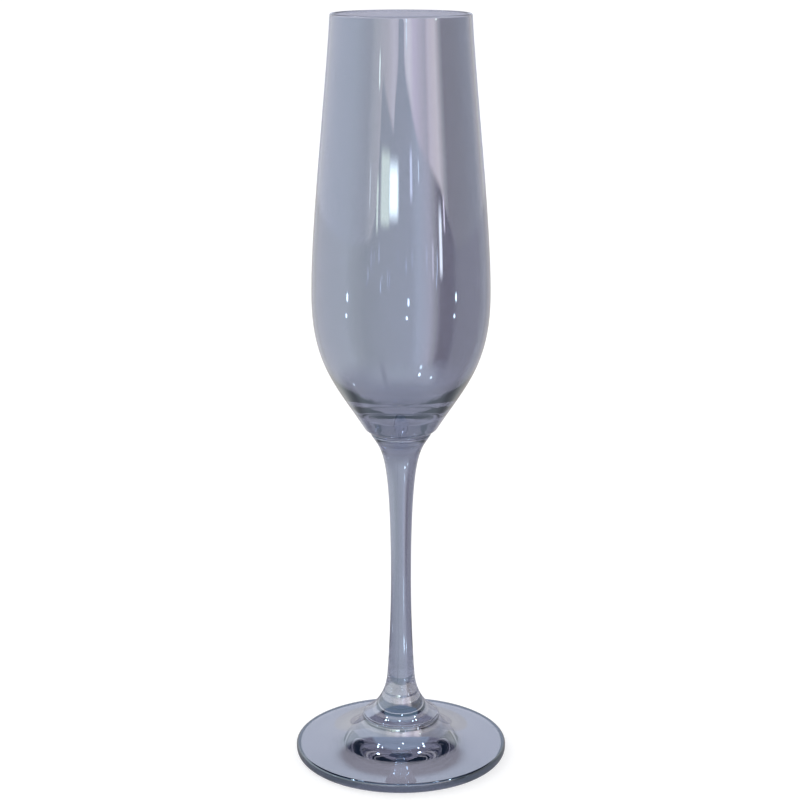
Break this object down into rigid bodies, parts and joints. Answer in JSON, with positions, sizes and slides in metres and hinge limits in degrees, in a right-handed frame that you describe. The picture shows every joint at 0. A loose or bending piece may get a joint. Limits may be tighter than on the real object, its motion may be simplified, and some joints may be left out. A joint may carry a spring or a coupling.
{
  "type": "champagne flute",
  "caption": "Tall, slim stemware glass for sparkling wine: a belly that narrows to the rim, a waisted stem with flared ends and a flat round foot.",
  "frame": {"origin": "middle of the foot, on the surface that the glass stands on", "axes": "+Z along the stem, up towards the rim; the glass is the same all round"},
  "size_m": [0.0662, 0.0662, 0.23],
  "materials": {
    "bowl_glass": "smoke-grey lustred glass, fire polished",
    "stem_glass": "smoke-grey lustred glass, drawn",
    "foot_glass": "smoke-grey lustred glass, pressed and polished"
  },
  "bodies": {
    "root": {"bowl": "bowl_glass", "stem": "stem_glass", "foot": "foot_glass"}
  },
  "joints": []
}
